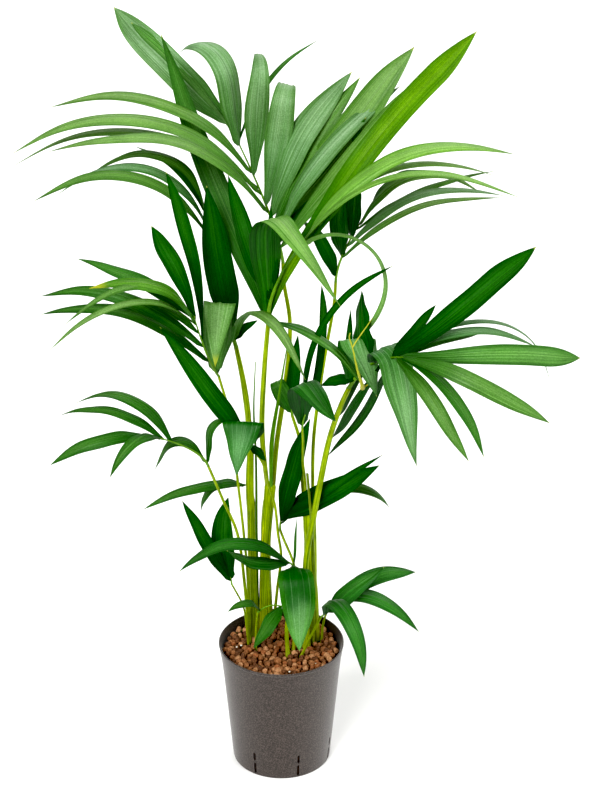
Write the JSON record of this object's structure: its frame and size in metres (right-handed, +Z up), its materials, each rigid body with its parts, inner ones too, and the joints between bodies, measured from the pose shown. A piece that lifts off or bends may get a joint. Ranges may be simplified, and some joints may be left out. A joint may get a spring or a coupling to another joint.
{
  "type": "potted kentia palm",
  "caption": "Kentia palm in a tapered plastic culture pot of clay granules: slim green stems and arching leaf stalks that carry open fronds of long pleated leaflets.",
  "frame": {"origin": "centre of the pot's flat underside", "axes": "+Z up, +X to the right of the plant's front, -Y towards its front"},
  "size_m": [0.7404, 0.5494, 1.065],
  "materials": {
    "pot": "dark warm grey moulded plastic with a fine speckle, satin",
    "growing_medium": "fired clay granules, matt red-brown",
    "stem": "smooth yellow-green sheath, satin",
    "leaf_stalk": "smooth green with a paler stripe, satin",
    "spear": "smooth fresh green, satin",
    "fresh_leaf": "bright pleated leaf, softly glossy",
    "leaf": "mid-green pleated leaf, softly glossy",
    "deep_leaf": "deep green pleated leaf, softly glossy"
  },
  "bodies": {
    "root": {"pot": "pot", "growing_medium": "growing_medium", "stem_left": "stem", "stem_middle": "stem", "stem_right": "stem", "stalk_top": "leaf_stalk", "stalk_centre": "leaf_stalk", "stalk_upper_left": "leaf_stalk", "stalk_upper_right": "leaf_stalk", "stalk_right": "leaf_stalk", "stalk_left": "leaf_stalk", "stalk_low_left": "leaf_stalk", "stalk_folded": "leaf_stalk", "stalk_low_back": "leaf_stalk", "stalk_inner_front": "leaf_stalk", "stalk_inner_right": "leaf_stalk", "stalk_inner_back": "leaf_stalk", "stalk_shoot_left": "leaf_stalk", "stalk_shoot_front": "leaf_stalk", "stalk_shoot_right": "leaf_stalk", "stalk_shoot_far_right": "leaf_stalk", "stalk_shoot_small": "leaf_stalk", "spear_middle": "spear", "spear_left": "spear", "cut_stalk_right": "spear", "frond_top": "fresh_leaf", "frond_centre": "fresh_leaf", "frond_upper_left": "leaf", "frond_upper_right": "deep_leaf", "frond_right": "leaf", "frond_left": "leaf", "frond_low_left": "leaf", "frond_folded": "deep_leaf", "frond_low_back": "deep_leaf", "frond_inner_front": "deep_leaf", "frond_inner_right": "deep_leaf", "frond_inner_back": "deep_leaf", "frond_shoot_left": "deep_leaf", "frond_shoot_front": "leaf", "frond_shoot_right": "leaf", "frond_shoot_far_right": "leaf", "frond_shoot_small": "leaf"}
  },
  "joints": []
}
